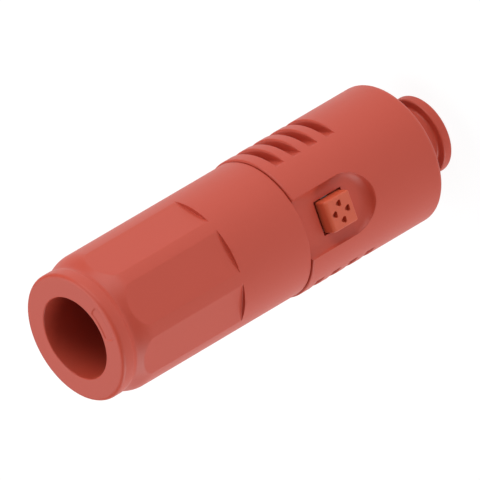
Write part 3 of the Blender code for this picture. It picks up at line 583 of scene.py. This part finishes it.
def nut_moulding():
    inner_rim = (10.25, 10.6, 10.8, 10.88, 10.96, 11.04, 11.12, 11.2, 11.4)
    outer_rim = (13.4, 13.48, 13.56, 13.64, 13.72, 13.8, 14.0)
    outline = [(radius, NUT_HIGH) for radius in inner_rim + (12.0, 12.6, 13.2) + outer_rim]
    end_edge = [(14.2, NUT_HIGH), (COLLAR_RADIUS, NUT_HIGH, 1.0), (COLLAR_RADIUS, COLLAR_LOW)]
    outline += rounded(end_edge, 8)[1:-1]
    outline += [(COLLAR_RADIUS, 106.0)]
    waist = COLLAR_LOW - 0.4
    for k in range(WAIST_STEPS):
        drop = WAIST_DEPTH * float(soft_step(k / WAIST_STEPS))
        height = waist + WAIST_SPACING * WAIST_STEPS - WAIST_SPACING * k
        outline.append((COLLAR_RADIUS - drop, height))
    for k in range(SHOULDER_STEPS + 1):
        drop = SHOULDER_DROP * k / SHOULDER_STEPS
        eased = drop * drop / (drop + SHOULDER_EASE) * (1 + SHOULDER_EASE / SHOULDER_DROP) / SHOULDER_DROP
        rise = (NUT_RADIUS - WAIST_RADIUS) * math.sin(eased * math.pi / 2)
        outline.append((WAIST_RADIUS + rise, waist - drop))
    outline += [(NUT_RADIUS, z) for z in spaced(waist - SHOULDER_DROP - 0.8, FLAT_END + 1.3, 1.2)]
    outline += [(NUT_RADIUS, FLAT_END + along) for along, _ in reversed(FLAT_END_WALL[1:])]
    outline += [(NUT_RADIUS, FLAT_END + 0.001), (NUT_RADIUS, FLAT_END - 0.001)]
    outline += [(NUT_RADIUS, z) for z in spaced(FLAT_END - 1.0, NUT_LOW + 1.0, 2.4)]
    outline += rounded([
        (NUT_RADIUS, 60.0), (NUT_RADIUS, NUT_LOW, 0.35),
        (NUT_MOUTH_BORE, NUT_LOW, 0.2), (NUT_MOUTH_BORE, 53.0),
    ], 6)[1:-1]
    outline += [(NUT_MOUTH_BORE, 53.3)]
    outline += [(NUT_THREAD_BORE, z) for z in (54.1, 70.0, NUT_BORE_LOW)]
    outline += rounded([
        (13.0, NUT_BORE_LOW), (NUT_BORE, NUT_BORE_LOW, 0.3),
        (NUT_BORE, NUT_HIGH, 0.3), (13.0, NUT_HIGH),
    ], 5)[1:-1]
    half = math.degrees(math.acos(FLAT_REACH / NUT_RADIUS))
    edges = [middle + side * half for middle in FLAT_MIDDLES for side in (-1, 1)]
    recess_ends = [NUT_TURN - RECESS_HALF_TURN, NUT_TURN + RECESS_HALF_TURN]
    turns = finer_turns(turns_near(edges, 2.0, 0.4, 1.5), recess_ends, 3.2, 0.25, 0.1)
    nut = wrap("gland_nut_moulding", outline, turns, RED, nut_form)
    join(nut, helical_ridge("nut_thread", NUT_THREAD_BORE, 13.45, 55.5, 87.4, RED))
    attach(nut, "gland_nut")
    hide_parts("gland_nut")


def nose_moulding():
    corners = [
        (7.6, 55.9, 0.3), (9.9, 55.9, 0.3), (9.9, 51.8), (8.4, 51.8), (8.4, 50.3), (9.9, 50.3), (9.9, 49.2),
        (7.4, 49.2), (7.4, 2.6, 0.5), (9.4, 2.6, 0.45), (9.4, 0.0, 0.7), (5.4, 0.0, 0.15), (4.6, 0.8, 0.15),
        (4.6, 3.2), (6.4, 3.2), (6.4, 50.3), (7.6, 50.3), (7.6, 53.45), (8.55, 53.45), (8.55, 54.55),
        (7.6, 54.55),
    ]
    nose = turned("nose_moulding", corners, RED, 192, 7)
    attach(nose, "root")
    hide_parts("nose_insulator")


def pit_outline(reach):
    """A three sided pit with rounded corners."""
    points = []
    for corner in range(3):
        middle = math.radians(180.0 + 24.0 + 120.0 * corner)
        centre = (0.55 * reach * math.cos(middle), 0.55 * reach * math.sin(middle))
        for k in range(7):
            a = middle + math.radians(-60.0 + 20.0 * k)
            points.append((centre[0] + 0.45 * reach * math.cos(a), centre[1] + 0.45 * reach * math.sin(a)))
    return points


def faces_out(normal):
    """Whether a face of the button is its front, its nose side or one of its flanks."""
    return abs(normal.x) > 0.9 or normal.z < -0.9 or normal.y < -0.9


def button_moulding():
    thick = BUTTON_FACE - BUTTON_BACK
    shape = bmesh.new()
    cube = bmesh.ops.create_cube(shape, size=1.0)["verts"]
    bmesh.ops.scale(shape, vec=(2 * BUTTON_HALF, thick, 2 * BUTTON_HALF), verts=cube)
    nut_side = [e for e in shape.edges if all(v.co.y < 0.0 and v.co.z > 0.0 for v in e.verts)]
    bmesh.ops.bevel(
        shape, geom=nut_side, offset=BUTTON_TOP_BEVEL, segments=9, profile=0.5, affect="EDGES"
    )
    rim = [
        e for e in shape.edges
        if any(faces_out(f.normal) for f in e.link_faces) and e.calc_face_angle(0.0) > 0.7
        and min(v.co.y for v in e.verts) < thick / 2 - 0.01
    ]
    bmesh.ops.bevel(shape, geom=rim, offset=BUTTON_RIM_BEVEL, segments=6, profile=0.5, affect="EDGES")
    bmesh.ops.translate(shape, vec=(0.0, -(BUTTON_FACE - thick / 2), BUTTON_HEIGHT), verts=shape.verts)
    verts = [tuple(v.co) for v in shape.verts]
    faces = [[v.index for v in f.verts] for f in shape.faces]
    shape.free()
    button = add_piece("button_moulding", verts, faces, BUTTON_RED)
    cutters = []
    for x, z in ((-2.0, 0.0), (2.0, 0.0), (0.0, -1.9), (0.0, 1.9)):
        outline = [(x + px, z + pz) for px, pz in pit_outline(0.85)]
        pit = cut_prism(outline, -1.0, 1.0)
        pit.data.transform(Matrix.Rotation(math.pi / 2, 4, "X"))
        pit.data.transform(Matrix.Translation((0.0, -BUTTON_FACE * MM, BUTTON_HEIGHT * MM)))
        cutters.append(pit)
    cutters.append(cut_box((-2.5, -16.2, CHAMBER_LOW), (2.5, -13.7, CHAMBER_HIGH)))
    carve(button, cutters)
    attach(button, "latch")
    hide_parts("release_button")


def seal_ring(name, node, radius, height, section):
    angles = -even_turn(20)
    outline = [(radius + section * math.cos(a), height + section * math.sin(a)) for a in angles]
    ring = wrap(name, outline, even_turn(128), RUBBER, None, 180.0)
    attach(ring, "root")
    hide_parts(node)


def inner_turned(name, node, corners, slot, body="root"):
    piece = turned(name, corners, SLOTS[slot], 144)
    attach(piece, body)
    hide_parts(node)


def flat_ring(inner, outer, low, high, rounding):
    """The corners of a washer's section."""
    return [(r, z, rounding) for r, z in ((inner, high), (outer, high), (outer, low), (inner, low))]


def cable_seal_section():
    """A thick sleeve with three ribs inside that grip the jacket."""
    low, high, bore, rib_bore, outside, rib_pitch = 71.3, 80.0, 9.0, 8.5, 11.0, 2.9
    section = [(bore, high, 0.2), (outside, high, 0.6), (outside, low, 0.6), (bore, low, 0.2)]
    for k in range(3):
        middle = low + rib_pitch * (k + 0.5)
        section += [(rib_bore, middle - 0.36, 0.25), (rib_bore, middle + 0.36, 0.25)]
        if k < 2:
            section.append((bore, middle + rib_pitch / 2, 0.3))
    return section


def inner_pieces():
    front_seal = flat_ring(8.0, 10.8, 44.9, 46.1, 0.25)
    support_washer = flat_ring(8.5, 11.0, 69.8, 71.0, 0.15)
    thrust_ring = flat_ring(10.0, 13.6, 91.8, 93.0, 0.2)
    inner_turned("front_seal", "interface_seal", front_seal, "black_rubber")
    inner_turned("support_washer", "seal_support_washer", support_washer, "grey_nylon")
    inner_turned("thrust_ring", "thrust_washer", thrust_ring, "grey_nylon", "gland_follower")
    inner_turned("ribbed_cable_seal", "cable_seal", cable_seal_section(), "black_rubber")
    guide = [
        (TIP_BORE, GUIDE_HIGH, 0.1), (12.5, GUIDE_HIGH, 0.3),
        (12.5, GUIDE_LOW, 0.3), (TIP_BORE, GUIDE_LOW, 0.5),
    ]
    inner = turned("latch_guide_ring", guide, GREY)
    key = cut_box((-5.2, 11.8, GUIDE_LOW), (5.2, 14.0, GUIDE_HIGH))
    key.data.materials.append(GREY)
    join(inner, key)
    inner.data.set_sharp_from_angle(angle=math.radians(SMOOTH_ANGLE))
    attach(inner, "root")
    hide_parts("latch_guide")
    seal_ring("nut_seal", "nut_seal_ring", 13.95, 51.75, 0.45)


def dress_carried_nodes():
    """The nodes whose CAD shape is right keep it and take the finish of their slot."""
    slots = {row["node"]: row["material_slot"] for row in frame["record"]["subparts"]}
    for name, node in nodes.items():
        if node.hide_render:
            continue
        node.data.materials.clear()
        node.data.materials.append(SLOTS[slots[name]])


PIXELS_PER_MM = 4.535
AZIMUTH, ELEVATION = 19.4, 33.96
NOSE_DIRECTION = (0.86135, 0.5081)
CABLE_END_PIXEL = (74.7, 338.4)
FOCAL_PIXELS = 20000.0
FRAME_PIXELS = 480.0
SENSOR_WIDTH = 36.0


def camera_axes():
    """The camera's right, up and back, which put the cable end to the lower left as in the photograph."""
    a, e = math.radians(AZIMUTH), math.radians(ELEVATION)
    back = Vector((math.sin(a) * math.cos(e), -math.cos(a) * math.cos(e), math.sin(e)))
    along = (Vector((0.0, 0.0, 1.0)) - back * back.z).normalized()
    across = along.cross(back)
    right = -NOSE_DIRECTION[0] * along - NOSE_DIRECTION[1] * across
    up = -NOSE_DIRECTION[1] * along + NOSE_DIRECTION[0] * across
    return right, up, back


def set_camera():
    right, up, back = camera_axes()
    data = bpy.data.cameras.new("photo_camera")
    data.sensor_width = SENSOR_WIDTH
    data.lens = FOCAL_PIXELS * SENSOR_WIDTH / FRAME_PIXELS
    data.clip_end = 100.0
    camera = new_object("photo_camera", data)
    shift_right = (CABLE_END_PIXEL[0] - FRAME_PIXELS / 2) / PIXELS_PER_MM
    shift_up = (FRAME_PIXELS / 2 - CABLE_END_PIXEL[1]) / PIXELS_PER_MM
    cable_end = Vector((0.0, 0.0, NUT_HIGH))
    place = cable_end + back * (FOCAL_PIXELS / PIXELS_PER_MM) - right * shift_right - up * shift_up
    matrix = Matrix((right, up, back)).transposed().to_4x4()
    matrix.translation = place * MM
    camera.matrix_world = matrix
    bpy.context.scene.camera = camera


LIGHT_AIM = Vector((0.0, 0.0, 0.055))
LIGHT_DISTANCE = 0.7
# Each light's name, the direction that it stands in, its size and its power.
LIGHTS = [
    ("window_side", (0.95, -0.3, 0.16), 0.6, 3.05),
    ("fill_side", (-1.0, -0.35, 0.08), 0.6, 3.8),
    ("behind_the_end", (-0.33, 0.94, 1.1), 0.8, 1.85),
    ("above_the_end", (0.35, 0.25, 1.0), 0.6, 2.3),
    ("camera_side", (0.27, -0.95, 0.12), 0.6, 0.35),
]
TENT_STRENGTH = 0.2
FLOOR_HALF, FLOOR_DROP = 1.6, 0.0002
FLOOR_EMISSION, FLOOR_GLOW, FLOOR_EXTRA_FOR_CAMERA = 1.08, 0.55, 0.31


def soft_light(name, direction, size, power):
    data = bpy.data.lights.new(name, "AREA")
    data.shape = "DISK"
    data.size = size
    data.energy = power
    lamp = new_object(name, data)
    away = Vector(direction).normalized()
    lamp.location = LIGHT_AIM + away * LIGHT_DISTANCE
    lamp.rotation_mode = "QUATERNION"
    lamp.rotation_quaternion = away.to_track_quat("Z", "Y")


def white_background(tree, strength):
    made = tree.nodes.new("ShaderNodeBackground")
    made.inputs["Color"].default_value = (1.0, 1.0, 1.0, 1.0)
    made.inputs["Strength"].default_value = strength
    return made


def set_tent():
    """An even dim light from all round, which the camera sees as white."""
    world = bpy.data.worlds.new("light_tent")
    bpy.context.scene.world = world
    world.use_nodes = True
    tree = world.node_tree
    tree.nodes.clear()
    output = tree.nodes.new("ShaderNodeOutputWorld")
    rays = tree.nodes.new("ShaderNodeLightPath")
    tent = white_background(tree, TENT_STRENGTH)
    white = white_background(tree, 1.0)
    mix = tree.nodes.new("ShaderNodeMixShader")
    tree.links.new(rays.outputs["Is Camera Ray"], mix.inputs[0])
    tree.links.new(tent.outputs[0], mix.inputs[1])
    tree.links.new(white.outputs[0], mix.inputs[2])
    tree.links.new(mix.outputs[0], output.inputs["Surface"])


def set_floor():
    """A pale floor just under the plug that shows as white, keeps a faint shadow and glows onto the plug from
    below though it is no lamp.
    """
    floor = Finish("pale floor")
    rays = floor.tree.nodes.new("ShaderNodeLightPath")
    plain = floor.node("ShaderNodeBsdfDiffuse", {}, {"Color": (0.86, 0.86, 0.86)})
    bright = floor.node("ShaderNodeEmission", {}, {"Color": (1.0, 1.0, 1.0), "Strength": FLOOR_EMISSION})
    # For rays other than the camera's the floor's emission lights the plug from below: painted light from a
    # glowing floor.
    glow = Value(floor, rays.outputs["Is Camera Ray"]) * FLOOR_EXTRA_FOR_CAMERA + FLOOR_GLOW
    mixed = floor.node("ShaderNodeMixShader", {}, {0: glow, 1: plain, 2: bright})
    floor.tree.links.new(mixed.socket, floor.output.inputs["Surface"])
    ground = bpy.data.meshes.new("floor")
    corners = [(x * FLOOR_HALF, y * FLOOR_HALF, -FLOOR_DROP) for x, y in ((-1, -1), (1, -1), (1, 1), (-1, 1))]
    ground.from_pydata(corners, [], [(0, 1, 2, 3)])
    ground.materials.append(floor.material)
    plane = new_object("floor", ground)


body_moulding()
nut_moulding()
nose_moulding()
button_moulding()
inner_pieces()
dress_carried_nodes()
set_camera()
set_tent()
set_floor()
for light in LIGHTS:
    soft_light(*light)
bpy.context.scene.view_settings.view_transform = "Standard"
